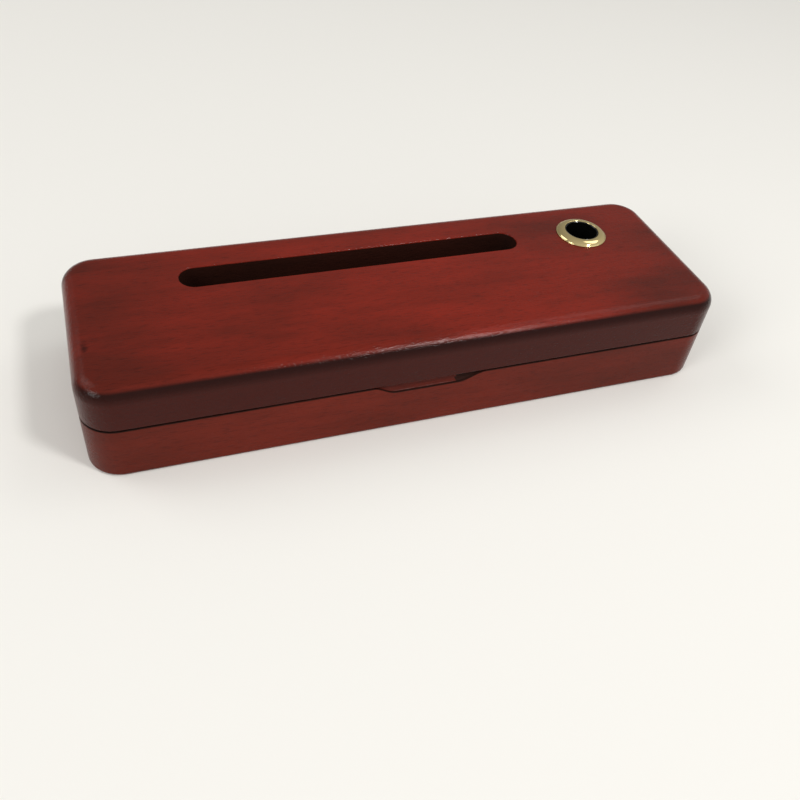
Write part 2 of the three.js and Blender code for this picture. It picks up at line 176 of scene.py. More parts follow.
class Solid:
    """A closed shape in the making, in metres, in the case's own frame."""

    def __init__(self) -> None:
        """Starts with nothing."""
        self.mesh = bmesh.new()

    def loft(self, rings: Sequence[Outline], corner_steps: int = 12) -> "Solid":
        """Joins outlines at rising or falling heights into one closed skin.

        Args:
            rings: the outlines, in order.
            corner_steps: how many sides each round corner has.

        Returns:
            This solid.
        """
        return self._skin([self._draw(ring, corner_steps) for ring in rings])

    def sweep(self, profile: Sequence[Vector], stations: Sequence[Matrix]) -> "Solid":
        """Carries a flat profile through several places and joins them into one closed skin.

        Args:
            profile: the profile's corners, in order.
            stations: for each place, how the profile is moved and scaled to it.

        Returns:
            This solid.
        """
        return self._skin([
            self.mesh.faces.new([self.mesh.verts.new(station @ point) for point in profile])
            for station in stations
        ])

    def _skin(self, faces: Sequence[bmesh.types.BMFace]) -> "Solid":
        """Joins the outlines of several faces, and keeps the first and the last as end caps.

        Args:
            faces: the flat faces, in order.

        Returns:
            This solid.
        """
        loops = [face.edges[:] for face in faces]
        bmesh.ops.delete(self.mesh, geom=faces[1:-1], context="FACES_ONLY")
        for below, above in zip(loops, loops[1:]):
            bmesh.ops.bridge_loops(self.mesh, edges=below + above)
        return self._outwards()

    def _draw(self, ring: Outline, corner_steps: int) -> bmesh.types.BMFace:
        """Draws one outline as a flat face.

        Args:
            ring: the outline.
            corner_steps: how many sides each round corner has.

        Returns:
            The face.
        """
        (left, front), (right, back) = ring.low, ring.high
        middle = Vector(((left + right) / 2, (front + back) / 2, ring.z))
        spread = Vector(((right - left) / 2, (back - front) / 2, 1))
        corners = bmesh.ops.create_grid(
            self.mesh, x_segments=1, y_segments=1, size=1,
            matrix=Matrix.LocRotScale(middle, None, spread),
        )["verts"]
        rounded = bmesh.ops.bevel(
            self.mesh, geom=corners, offset=ring.corner, offset_type="OFFSET",
            segments=corner_steps, profile=0.5, affect="VERTICES", material=-1,
        )["verts"]
        return rounded[0].link_faces[0]

    def _outwards(self) -> "Solid":
        """Turns every face outwards."""
        bmesh.ops.recalc_face_normals(self.mesh, faces=self.mesh.faces[:])
        return self

    def block(self, low: Vector, high: Vector) -> "Solid":
        """Adds a box.

        Args:
            low: its lowest corner.
            high: its highest corner.

        Returns:
            This solid.
        """
        place = Matrix.LocRotScale((low + high) / 2, None, high - low)
        bmesh.ops.create_cube(self.mesh, size=1, matrix=place)
        return self

    def rod(self, radius: float, start: Vector, end: Vector, steps: int = 48) -> "Solid":
        """Adds a cylinder between two points.

        Args:
            radius: its radius.
            start: the middle of one end.
            end: the middle of the other end.
            steps: how many sides it has.

        Returns:
            This solid.
        """
        turn = (end - start).to_track_quat("Z", "Y").to_matrix().to_4x4()
        bmesh.ops.create_cone(
            self.mesh, cap_ends=True, segments=steps, radius1=radius, radius2=radius,
            depth=(end - start).length, matrix=Matrix.Translation((start + end) / 2) @ turn,
        )
        return self

    def turned(self, profile: Sequence[tuple[float, float]], centre: Vector,
               steps: int = 96, closed: bool = True) -> "Solid":
        """Adds a profile turned about an upright axis.

        Args:
            profile: distances from the axis and heights above the centre, in order.
            centre: the point on the axis that heights count from.
            steps: how many sides the turned piece has.
            closed: whether the profile's last point joins its first.

        Returns:
            This solid.
        """
        points = [self.mesh.verts.new(centre + Vector((r, 0, z))) for r, z in profile]
        pairs = list(zip(points, points[1:])) + ([(points[-1], points[0])] if closed else [])
        line = [self.mesh.edges.new(pair) for pair in pairs]
        bmesh.ops.spin(self.mesh, geom=points + line, cent=centre, axis=(0, 0, 1),
                       angle=math.tau, steps=steps, use_merge=True)
        bmesh.ops.remove_doubles(self.mesh, verts=self.mesh.verts[:], dist=SLIVER)
        return self._outwards()

    def moved(self, place: Matrix) -> "Solid":
        """Turns and moves the whole solid."""
        bmesh.ops.transform(self.mesh, matrix=place, verts=self.mesh.verts[:])
        return self

    def cut(self, *tools: "Solid") -> "Solid":
        """Takes other solids away from this one."""
        return self._combine("DIFFERENCE", tools)

    def join(self, *others: "Solid") -> "Solid":
        """Joins other solids to this one."""
        return self._combine("UNION", others)

    def _combine(self, operation: str, others: Iterable["Solid"]) -> "Solid":
        """Applies one boolean after another, and keeps the result.

        Args:
            operation: what is done with each of the others.
            others: the other solids.

        Returns:
            This solid.
        """
        piece = self.to_object("combined")
        tools = [other.to_object("tool") for other in others]
        for tool in tools:
            step = piece.modifiers.new("combine", "BOOLEAN")
            step.operation, step.solver, step.object = operation, "EXACT", tool
        settle(piece)
        self.mesh = bmesh.new()
        self.mesh.from_mesh(piece.data)
        bmesh.ops.dissolve_degenerate(self.mesh, edges=self.mesh.edges[:], dist=SLIVER)
        for used in (piece, *tools):
            bpy.data.objects.remove(used)
        return self

    def to_object(self, name: str) -> bpy.types.Object:
        """Makes the solid an object at the origin.

        Args:
            name: the object's name.

        Returns:
            The object.
        """
        data = bpy.data.meshes.new(name)
        self.mesh.to_mesh(data)
        self.mesh.free()
        made = bpy.data.objects.new(name, data)
        bpy.context.scene.collection.objects.link(made)
        return made


def settle(piece: bpy.types.Object) -> None:
    """Applies every modifier of a piece to its mesh.

    Args:
        piece: the object to change.
    """
    bpy.context.view_layer.update()
    evaluated = piece.evaluated_get(bpy.context.evaluated_depsgraph_get())
    data = bpy.data.meshes.new_from_object(evaluated)
    piece.modifiers.clear()
    piece.data = data


@contextmanager
def reshaping(piece: bpy.types.Object) -> Iterator[bmesh.types.BMesh]:
    """Opens a piece's mesh for changes, and puts them back.

    Args:
        piece: the object to change.

    Yields:
        Its mesh.
    """
    solid = bmesh.new()
    solid.from_mesh(piece.data)
    yield solid
    solid.to_mesh(piece.data)
    solid.free()


def smooth(piece: bpy.types.Object, crease: float = 35) -> None:
    """Shades a piece smoothly except over its creases, with flat faces kept flat.

    Args:
        piece: the object to shade.
        crease: the smallest angle of a crease, in degrees.
    """
    with reshaping(piece) as solid:
        for face in solid.faces:
            face.smooth = True
        for edge in solid.edges:
            edge.smooth = edge.is_manifold and edge.calc_face_angle() < math.radians(crease)
    weighted = piece.modifiers.new("flat faces", "WEIGHTED_NORMAL")
    weighted.keep_sharp = True


def soften(piece: bpy.types.Object, width: float, crease: float = 35) -> None:
    """Rounds a piece's sharp edges a little, as handling and polishing do.

    Args:
        piece: the object to change.
        width: how far each edge is rounded.
        crease: the smallest angle of an edge that is rounded, in degrees.
    """
    edges = piece.modifiers.new("eased edges", "BEVEL")
    edges.width, edges.segments = width, 2
    edges.limit_method, edges.angle_limit = "ANGLE", math.radians(crease)
    settle(piece)
    with reshaping(piece) as solid:
        bmesh.ops.dissolve_degenerate(solid, edges=solid.edges[:], dist=SLIVER)


def install(piece: bpy.types.Object, body: Body, slot: str, finish: "Finish", *nodes: str) -> None:
    """Puts a finished piece in the place of its CAD nodes.

    Args:
        piece: the finished object.
        body: the half it moves with.
        slot: the record's material slot for it; not used.
        finish: its finish.
        nodes: the CAD nodes that it stands for.
    """
    if not piece.data.materials:
        piece.data.materials.append(finish.material())
    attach(piece, body.value)
    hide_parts(*nodes)
    LOG.info("%s: %d faces on %s", piece.name, len(piece.data.polygons), body.value)


# ----------------------------------------------------------------------------- finishes


def srgb(code: str) -> tuple[float, float, float, float]:
    """Turns a hex colour into the linear colour that a shader takes.

    Args:
        code: six hex digits.

    Returns:
        Linear red, green and blue, and full cover.
    """
    shares = [int(code[start:start + 2], 16) / 255 for start in (0, 2, 4)]
    linear = [s / 12.92 if s <= 0.04045 else ((s + 0.055) / 1.055) ** 2.4 for s in shares]
    return (*linear, 1.0)


def add_node(tree: bpy.types.NodeTree, kind: str, inputs: dict[Any, Any], **settings: Any
             ) -> bpy.types.Node:
    """Adds a node to a material.

    Args:
        tree: the material's nodes.
        kind: the node's type.
        inputs: for each input, by name or number, its value or the output that feeds it.
        settings: the node's properties.

    Returns:
        The node.
    """
    node = tree.nodes.new(kind)
    for name, value in settings.items():
        setattr(node, name, value)
    for key, value in inputs.items():
        if isinstance(value, bpy.types.NodeSocket):
            tree.links.new(value, node.inputs[key])
        else:
            node.inputs[key].default_value = value
    return node


@dataclass(frozen=True)
class Finish:
    """What a surface is made of and how it was worked."""

    name: str

    def material(self) -> bpy.types.Material:
        """Makes the material the first time it is asked for.

        Returns:
            The material.
        """
        made = bpy.data.materials.get(self.name)
        if made is None:
            made = bpy.data.materials.new(self.name)
            made.use_nodes = True
            made.node_tree.nodes.clear()
            shader = self.shade(made.node_tree)
            add_node(made.node_tree, "ShaderNodeOutputMaterial", {"Surface": shader.outputs[0]})
        return made

    def shade(self, tree: bpy.types.NodeTree) -> bpy.types.Node:
        """Adds the surface's nodes.

        Args:
            tree: the material's nodes.

        Returns:
            The shader node.
        """
        raise NotImplementedError

    @staticmethod
    def streaks(tree: bpy.types.NodeTree, size: tuple[float, float, float],
                detail: float = 2.0, slant: float = 0.0) -> bpy.types.Node:
        """Adds noise whose blotches have a real size.

        Args:
            tree: the material's nodes.
            size: a blotch's length along X, Y and Z, in metres.
            detail: how many finer octaves it has.
            slant: how far the blotches turn about Z, in degrees.

        Returns:
            The noise node.
        """
        place = add_node(tree, "ShaderNodeTexCoord", {})
        scaled = add_node(tree, "ShaderNodeMapping", {
            "Vector": place.outputs["Object"], "Scale": tuple(1 / length for length in size),
            "Rotation": (0.0, 0.0, math.radians(slant)),
        })
        return add_node(tree, "ShaderNodeTexNoise", {
            "Vector": scaled.outputs[0], "Scale": 1.0, "Detail": detail, "Roughness": 0.55,
        })


@dataclass(frozen=True)
class Knot:
    """A small dark knot in the wood: where it is, and how far it reaches each way."""

    place: tuple[float, float, float]
    reach: tuple[float, float, float]


@dataclass(frozen=True)
class SideStainAndShade:
    """The darker staining of a board's long sides and painted shade on its round edge: the colours
    on the side and on the round edge, and the heights where it starts, is full and starts to thin."""

    side: str
    edge: str
    top: float
    full: float
    foot: float


@dataclass(frozen=True)
class LacqueredRosewood(Finish):
    """Rosewood under thin red-brown satin lacquer: deep red with soft brown clouds along the
    grain, browner towards the ends of the board, with fine short pores and the slightly pebbled
    skin of lacquer sprayed thin, which breaks its highlights."""

    red: str
    brown: str
    dark: str
    roughness: float
    gloss: float
    stain_with_shade: SideStainAndShade | None = None
    knot: Knot | None = None
    cloud: tuple[float, float, float] = (44 * MM, 16 * MM, 16 * MM)
    streak: tuple[float, float, float] = (26 * MM, 2.4 * MM, 2.4 * MM)
    # Pores are open vessels 0.1 to 0.2 mm wide; drawn 0.35 mm wide so that they show.
    pore: tuple[float, float, float] = (3 * MM, 0.35 * MM, 0.35 * MM)
    pebble: tuple[float, float, float] = (0.9 * MM, 0.5 * MM, 0.5 * MM)

    def shade(self, tree: bpy.types.NodeTree) -> bpy.types.Node:
        """Adds the wood's nodes.

        Args:
            tree: the material's nodes.

        Returns:
            The shader node.
        """
        colour = self.figure(tree)
        if self.stain_with_shade:
            colour = self.tint_and_shade_sides(tree, colour)
        if self.knot:
            colour = self.add_knot(tree, colour)
        pores = self.streaks(tree, self.pore)
        open_pores = add_node(tree, "ShaderNodeMapRange", {
            "Value": pores.outputs[0], "From Min": 0.52, "From Max": 0.74, "To Max": 0.4})
        porous = add_node(tree, "ShaderNodeMix", {
            0: open_pores.outputs[0], 6: colour, 7: srgb(self.dark)}, data_type="RGBA")
        pebble = self.streaks(tree, self.pebble)
        relief = add_node(tree, "ShaderNodeMath", {
            0: open_pores.outputs[0], 1: -0.5, 2: pebble.outputs[0]}, operation="MULTIPLY_ADD")
        bump = add_node(tree, "ShaderNodeBump", {
            "Height": relief.outputs[0], "Strength": 0.8, "Distance": 0.12 * MM})
        return add_node(tree, "ShaderNodeBsdfPrincipled", {
            "Base Color": porous.outputs[2], "Roughness": self.roughness,
            "Specular IOR Level": self.gloss, "Normal": bump.outputs[0]})

    @staticmethod
    def places(tree: bpy.types.NodeTree) -> bpy.types.Node:
        """Adds a node that gives each point's place along X, Y and Z."""
        place = add_node(tree, "ShaderNodeTexCoord", {})
        return add_node(tree, "ShaderNodeSeparateXYZ", {0: place.outputs["Object"]})

    def figure(self, tree: bpy.types.NodeTree) -> bpy.types.NodeSocket:
        """Adds the board's broad colour: clouds, faint long streaks and browner ends.

        Args:
            tree: the material's nodes.

        Returns:
            The colour.
        """
        axes = self.places(tree)
        along = add_node(tree, "ShaderNodeMath", {0: axes.outputs[0]}, operation="ABSOLUTE")
        ends = add_node(tree, "ShaderNodeMapRange", {
            "Value": along.outputs[0], "From Min": 20 * MM, "From Max": 95 * MM, "To Max": 0.55},
            interpolation_type="SMOOTHSTEP")
        clouds = self.streaks(tree, self.cloud, 3.5, 14)
        cloudy = add_node(tree, "ShaderNodeMapRange", {
            "Value": clouds.outputs[0], "From Min": 0.38, "From Max": 0.68, "To Max": 0.75})
        both = add_node(tree, "ShaderNodeMath", {
            0: cloudy.outputs[0], 1: ends.outputs[0]}, operation="ADD", use_clamp=True)
        streaks = self.streaks(tree, self.streak, 3, 4)
        streaky = add_node(tree, "ShaderNodeMapRange", {
            "Value": streaks.outputs[0], "From Min": 0.48, "From Max": 0.8, "To Max": 0.2})
        ground = add_node(tree, "ShaderNodeMix", {
            0: both.outputs[0], 6: srgb(self.red), 7: srgb(self.brown)}, data_type="RGBA")
        board = add_node(tree, "ShaderNodeMix", {
            0: streaky.outputs[0], 6: ground.outputs[2], 7: srgb(self.dark)}, data_type="RGBA")
        return board.outputs[2]

    def tint_and_shade_sides(self, tree: bpy.types.NodeTree, colour: bpy.types.NodeSocket
                    ) -> bpy.types.NodeSocket:
        """Adds the darker staining of the long sides, and painted shade darkest on the round edge.

        Args:
            tree: the material's nodes.
            colour: the board's colour.

        Returns:
            The colour with the staining and the painted shade.
        """
        axes = self.places(tree)
        low = add_node(tree, "ShaderNodeMapRange", {
            "Value": axes.outputs[2], "From Min": self.stain_with_shade.top, "From Max": self.stain_with_shade.full},
            interpolation_type="SMOOTHSTEP")
        across = add_node(tree, "ShaderNodeMath", {0: axes.outputs[1]}, operation="ABSOLUTE")
        outer = add_node(tree, "ShaderNodeMapRange", {
            "Value": across.outputs[0], "From Min": 16 * MM, "From Max": 24 * MM},
            interpolation_type="SMOOTHSTEP")
        cover = add_node(tree, "ShaderNodeMath", {
            0: low.outputs[0], 1: outer.outputs[0]}, operation="MULTIPLY")
        # Painted shade: the round edge darkens from the foot height up to where the staining is
        # full.
        edge_shade = add_node(tree, "ShaderNodeMapRange", {
            "Value": axes.outputs[2], "From Min": self.stain_with_shade.foot, "From Max": self.stain_with_shade.full,
            "To Max": 0.9}, interpolation_type="SMOOTHSTEP")
        darker_and_shaded = add_node(tree, "ShaderNodeMix", {
            0: edge_shade.outputs[0], 6: srgb(self.stain_with_shade.side), 7: srgb(self.stain_with_shade.edge)},
            data_type="RGBA")
        mixed = add_node(tree, "ShaderNodeMix", {
            0: cover.outputs[0], 6: colour, 7: darker_and_shaded.outputs[2]}, data_type="RGBA")
        return mixed.outputs[2]

    def add_knot(self, tree: bpy.types.NodeTree, colour: bpy.types.NodeSocket
                 ) -> bpy.types.NodeSocket:
        """Adds the knot, with a ragged edge.

        Args:
            tree: the material's nodes.
            colour: the board's colour.

        Returns:
            The colour with the knot.
        """
        place = add_node(tree, "ShaderNodeTexCoord", {})
        size = tuple(1 / reach for reach in self.knot.reach)
        shift = tuple(-at / reach for at, reach in zip(self.knot.place, self.knot.reach))
        centred = add_node(tree, "ShaderNodeMapping", {
            "Vector": place.outputs["Object"], "Scale": size, "Location": shift})
        away = add_node(tree, "ShaderNodeVectorMath", {0: centred.outputs[0]}, operation="LENGTH")
        ragged = self.streaks(tree, (1.2 * MM,) * 3)
        edge = add_node(tree, "ShaderNodeMath", {
            0: ragged.outputs[0], 1: 1.4, 2: away.outputs["Value"]}, operation="MULTIPLY_ADD")
        cover = add_node(tree, "ShaderNodeMapRange", {
            "Value": edge.outputs[0], "From Min": 1.7, "From Max": 0.8, "To Max": 0.75})
        mixed = add_node(tree, "ShaderNodeMix", {
            0: cover.outputs[0], 6: colour, 7: srgb(self.dark)}, data_type="RGBA")
        return mixed.outputs[2]


@dataclass(frozen=True)
class PlatedMetal(Finish):
    """Polished metal under a thin plate: a clear mirror with faint turning marks."""

    colour: str
    roughness: float
    mark: float

    def shade(self, tree: bpy.types.NodeTree) -> bpy.types.Node:
        """Adds the metal's nodes.

        Args:
            tree: the material's nodes.

        Returns:
            The shader node.
        """
        haze = self.streaks(tree, (self.mark,) * 3, 3)
        rough = add_node(tree, "ShaderNodeMapRange", {
            "Value": haze.outputs[0], "To Min": self.roughness * 0.8,
            "To Max": self.roughness * 1.25})
        bump = add_node(tree, "ShaderNodeBump", {
            "Height": haze.outputs[0], "Strength": 0.06, "Distance": 0.01 * MM})
        return add_node(tree, "ShaderNodeBsdfPrincipled", {
            "Base Color": srgb(self.colour), "Metallic": 1.0,
            "Roughness": rough.outputs[0], "Normal": bump.outputs[0]})


@dataclass(frozen=True)
class MouldedPlastic(Finish):
    """Black injection-moulded ABS: glossy, with the faint orange peel of a polished mould."""

    colour: str

    def shade(self, tree: bpy.types.NodeTree) -> bpy.types.Node:
        """Adds the plastic's nodes.

        Args:
            tree: the material's nodes.

        Returns:
            The shader node.
        """
        peel = self.streaks(tree, (0.8 * MM,) * 3)
        bump = add_node(tree, "ShaderNodeBump", {
            "Height": peel.outputs[0], "Strength": 0.1, "Distance": 0.02 * MM})
        rough = add_node(tree, "ShaderNodeMapRange", {
            "Value": peel.outputs[0], "To Min": 0.14, "To Max": 0.24})
        return add_node(tree, "ShaderNodeBsdfPrincipled", {
            "Base Color": srgb(self.colour), "Roughness": rough.outputs[0], "IOR": 1.53,
            "Normal": bump.outputs[0]})


@dataclass(frozen=True)
class Pile(Finish):
    """Short upright fibres, as on flock or velvet: dark face on, pale at a glancing angle, with
    lighter patches where the pile has been stroked."""

    colour: str
    stroked: str
    patch: float
    sheen: float

    def shade(self, tree: bpy.types.NodeTree) -> bpy.types.Node:
        """Adds the pile's nodes.

        Args:
            tree: the material's nodes.

        Returns:
            The shader node.
        """
        patches = self.streaks(tree, (self.patch, self.patch / 2, self.patch / 2))
        lean = add_node(tree, "ShaderNodeMapRange", {
            "Value": patches.outputs[0], "From Min": 0.4, "From Max": 0.7, "To Max": 0.6})
        # Flock fibres are 0.02 mm thick; their tufts are drawn 0.3 mm wide so that they show.
        tufts = self.streaks(tree, (0.3 * MM,) * 3)
        leaning = add_node(tree, "ShaderNodeMix", {
            0: lean.outputs[0], 6: srgb(self.colour), 7: srgb(self.stroked)}, data_type="RGBA")
        tufted = add_node(tree, "ShaderNodeMix", {
            0: tufts.outputs[0], 6: srgb(self.colour), 7: leaning.outputs[2]}, data_type="RGBA")
        bump = add_node(tree, "ShaderNodeBump", {
            "Height": tufts.outputs[0], "Strength": 0.6, "Distance": 0.15 * MM})
        return add_node(tree, "ShaderNodeBsdfPrincipled", {
            "Base Color": tufted.outputs[2], "Roughness": 0.95, "Specular IOR Level": 0.15,
            "Sheen Weight": self.sheen, "Sheen Roughness": 0.4,
            "Sheen Tint": srgb(self.stroked), "Normal": bump.outputs[0]})


@dataclass(frozen=True)
class MattPaper(Finish):
    """Seamless studio paper: matt, pale and even."""

    colour: str

    def shade(self, tree: bpy.types.NodeTree) -> bpy.types.Node:
        """Adds the paper's nodes, and returns its shader."""
        return add_node(tree, "ShaderNodeBsdfPrincipled", {
            "Base Color": srgb(self.colour), "Roughness": 0.9, "Specular IOR Level": 0.1})


KNOT = Knot((-81.2 * MM, -10.5 * MM, 27 * MM), (1.1 * MM, 2.7 * MM, 1.5 * MM))
# Painted shade: the second colour darkens the lid's round edge; the first is the sides' darker
# staining.
LID_STAIN_AND_SHADE = SideStainAndShade("3d1009", "200a07", 26.3 * MM, 25.5 * MM, 22.2 * MM)
LID_WOOD = LacqueredRosewood("lacquered_rosewood_lid", "802418", "581d14", "290d0a", 0.16, 0.135,
                             LID_STAIN_AND_SHADE, KNOT)
BASE_WOOD = LacqueredRosewood("lacquered_rosewood_base", "6d2418", "551e14", "2c100d", 0.24, 0.09)
# Darker unlacquered wood for cut faces, partly painted shade: the seam rims, the slot and hole
# walls, and the notch's lip and far end.
BARE_AND_SHADED_WOOD = LacqueredRosewood("unlacquered_rosewood_painted_shade", "31150e", "20100b", "0b0504", 0.6, 0.1)
# Painted shade: a darker colour for the recess of the finger notch under the lid.
NOTCH_SHADED_WOOD = LacqueredRosewood("rosewood_notch_painted_shade", "5c1e14", "4e1a12", "240c08", 0.3, 0.13)
GOLD_PLATE = PlatedMetal("gold_plated_brass", "e9d49b", 0.1, 3 * MM)
HINGE_BRASS = PlatedMetal("rolled_brass", "d1aa55", 0.28, 1.5 * MM)
SCREW_BRASS = PlatedMetal("turned_brass", "d8b565", 0.2, 0.8 * MM)
NICKEL = PlatedMetal("nickel_plated_magnet", "c3c2bd", 0.2, 2 * MM)
BLACK_ABS = MouldedPlastic("black_moulded_abs", "090909")
FLOCK = Pile("black_flock", "221f21", "3a3639", 22 * MM, 0.6)
VELVET = Pile("black_velvet", "221d20", "3e383f", 7 * MM, 0.8)
THREAD = Pile("grey_polyester_thread", "6b6469", "8f888d", 1 * MM, 0.5)
PAPER = MattPaper("seamless_paper", "f2f1ed")


# ------------------------------------------------------------------------------- pieces


@dataclass
class Rims:
    """What both wooden halves share: the seam and the hinge's axis, read from the frame, and the
    sizes of rims, mouths, mortises and pockets."""

    seam: float = field(default_factory=lambda: frame["joints"][0]["pos_m"][2])
    hinge_y: float = field(default_factory=lambda: frame["joints"][0]["pos_m"][1])
    corner: float = 8.3 * MM
    seam_edge: float = 0.3 * MM
    mouth_edge: float = 0.5 * MM
    # How far from the seam the rim faces get the darker wood, as painted shade in the seam.
    bare_and_shade: float = 0.1 * MM
    chamfer: float = math.radians(51)
    leaf: float = 0.8 * MM
    leaf_gap: float = 0.2 * MM
    play: float = 0.3 * MM
    magnet_play: float = 0.1 * MM

    def chamfer_cutter(self, half: Body, rim: float) -> Solid:
        """The wedge that slants the rear rim, so that the lid can swing back.

        Args:
            half: the half that is cut.
            rim: the half's rim height.

        Returns:
            The wedge.
        """
        reach, past, half_length = 5 * MM, 3 * MM, 100 * MM
        start = Vector((-half_length, self.hinge_y, rim))
        corners = [
            start,
            start + Vector((0, reach, half.away * reach * math.tan(self.chamfer))),
            start + Vector((0, reach, -half.away * past)),
            start + Vector((0, 0, -half.away * past)),
        ]
        return Solid().sweep(corners, [Matrix(), Matrix.Translation((2 * half_length, 0, 0))])

    def hinge_cutters(self, half: Body, end: End) -> list[Solid]:
        """The mortise and the barrel groove for one hinge leaf.

        Args:
            half: the half that is cut.
            end: which hinge.

        Returns:
            The cutters.
        """
        low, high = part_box(f"{end.value}_hinge_{half.value}_leaf")
        barrel, past = (high.z - low.z) / 2, 2 * MM
        rim = self.seam + half.away * self.leaf_gap
        levels = sorted((rim - half.away * past, rim + half.away * (self.leaf + self.play)))
        mortise = Solid().block(
            Vector((low.x - self.play, low.y - self.play, levels[0])),
            Vector((high.x + self.play, self.hinge_y, levels[1])))
        groove = Solid().rod(
            barrel + self.play, Vector((low.x - self.play, self.hinge_y, self.seam)),
            Vector((high.x + self.play, self.hinge_y, self.seam)))
        return [mortise, groove]

    def magnet_cutters(self, half: Body) -> list[Solid]:
        """The pockets for one half's catch magnets.

        Args:
            half: the half that is cut.

        Returns:
            The cutters.
        """
        made = []
        for end in End:
            low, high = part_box(f"{end.value}_{half.value}_magnet")
            middle, reach = (low + high) / 2, Vector((0, 0, (high.z - low.z) / 2 + self.play))
            radius = (high.x - low.x) / 2 + self.magnet_play
            made.append(Solid().rod(radius, middle - reach, middle + reach))
        return made


@dataclass
class WoodenBase:
    """The lower half of the box: floor, walls, finger notch and rear chamfer."""

    rims: Rims
    bottom_edge: float = 1.0 * MM
    wall: float = 6 * MM
    rear_wall: float = 9 * MM
    floor: float = 3 * MM
    cavity_corner: float = 4 * MM
    notch_ends: tuple[float, float] = (-16.4 * MM, 14.8 * MM)
    notch_runs: tuple[float, float] = (6.6 * MM, 8.3 * MM)
    left_easing: tuple[float, float] = (0.36, 0.62)
    right_easing: tuple[float, float] = (0.6, 0.4)
    notch_height: float = 2.3 * MM
    notch_depth: float = 1.4 * MM
    lip: float = 0.5 * MM

    def build(self) -> None:
        """Builds and installs the base."""
        low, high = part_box("base_box")
        plan = Outline(low.xy[:], high.xy[:], self.rims.corner, low.z)
        foot = plan.grown(0, low.z + self.bottom_edge).rounded_in(self.bottom_edge, -1, 4)[::-1]
        top = plan.grown(0, high.z - self.rims.seam_edge).rounded_in(self.rims.seam_edge, 1, 3)
        shell = Solid().loft(foot + top)
        cavity = Outline((low.x + self.wall, low.y + self.wall),
                         (high.x - self.wall, high.y - self.rear_wall),
                         self.cavity_corner, high.z - self.rims.mouth_edge)
        tools = [
            Solid().loft([cavity.grown(0, self.floor)]
                         + cavity.flared_out(self.rims.mouth_edge, 1)),
            self.notch_cutter(low.y, high.z),
            self.rims.chamfer_cutter(Body.BASE, high.z),
            *[tool for end in End for tool in self.rims.hinge_cutters(Body.BASE, end)],
            *self.rims.magnet_cutters(Body.BASE),
        ]
        piece = shell.cut(*tools).to_object("rosewood_base")
        for finish in (BASE_WOOD, NOTCH_SHADED_WOOD, BARE_AND_SHADED_WOOD):
            piece.data.materials.append(finish.material())
        self.mark_notch_faces(piece, low.y, high.z)
        smooth(piece)
        install(piece, Body.BASE, "rosewood_base", BASE_WOOD, "base_box")

    def mark_notch_faces(self, piece: bpy.types.Object, front: float, rim: float) -> None:
        """Gives the notch its darker colour as painted shade in the recess, and gives its lip, its
        far end and the rim the darkest wood as painted shade.

        Args:
            piece: the base.
            front: the front face's place along Y.
            rim: the rim's height.
        """
        left, right = self.notch_ends
        darker_and_shaded, bare_and_shade = 1, 2
        inside = 0.02 * MM
        for face in piece.data.polygons:
            middle = face.center
            # Painted shade in the seam: the rim faces get the darkest wood.
            if middle.z > rim - self.rims.bare_and_shade:
                face.material_index = bare_and_shade
            elif (left < middle.x < right and middle.z > self.floor
                    and front + inside < middle.y < front + self.notch_depth + inside):
                # Painted shade: the notch's far end and the strip along its lip get the darkest
                # wood.
                shaded = middle.x > right - self.notch_runs[1] or middle.y < front + self.lip
                face.material_index = bare_and_shade if shaded else darker_and_shaded

    def notch_cutter(self, front: float, rim: float) -> Solid:
        """The cutter of the finger notch: a short curved left end, a long easy right end, an
        eased front edge and a back that leans in towards the rim.

        Args:
            front: the front face's place along Y.
            rim: the base's rim height.

        Returns:
            The cutter.
        """
        left, right = self.notch_ends
        left_run, right_run = self.notch_runs
        floor, points = rim - self.notch_height, 13
        leave, arrive = (share * left_run for share in self.left_easing)
        left_curve = geometry.interpolate_bezier(
            Vector((left, 0, rim)), Vector((left + leave, 0, rim)),
            Vector((left + arrive, 0, floor)), Vector((left + left_run, 0, floor)), points)
        leave, arrive = (share * right_run for share in self.right_easing)
        right_curve = geometry.interpolate_bezier(
            Vector((right - right_run, 0, floor)), Vector((right - leave, 0, floor)),
            Vector((right - arrive, 0, rim)), Vector((right, 0, rim)), points)
        above = Vector((0, 0, 2 * MM))
        profile = [Vector(left_curve[0]) + above, *left_curve, *right_curve,
                   Vector(right_curve[-1]) + above]
        middle = Vector(((left + right) / 2, 0, rim))
        # Each step is a distance behind the front face and how far the notch grows there.
        steps = [(self.notch_depth, -1.5 * MM), (1.2 * MM, -1.0 * MM), (0.9 * MM, -0.3 * MM),
                 (0.75 * MM, -0.1 * MM), (0.6 * MM, 0.0), (0.32 * MM, 0.0), (0.15 * MM, 0.03 * MM),
                 (0.04 * MM, 0.13 * MM), (-0.04 * MM, 0.3 * MM), (-2 * MM, 4 * MM)]
        stations = []
        for behind, grow in steps:
            scale = Vector((1 + grow / right, 1, 1 + grow / self.notch_height, 1))
            stations.append(Matrix.Translation(middle + Vector((0, front + behind, 0)))
                            @ Matrix.Diagonal(scale) @ Matrix.Translation(-middle))
        return Solid().sweep(profile, stations)


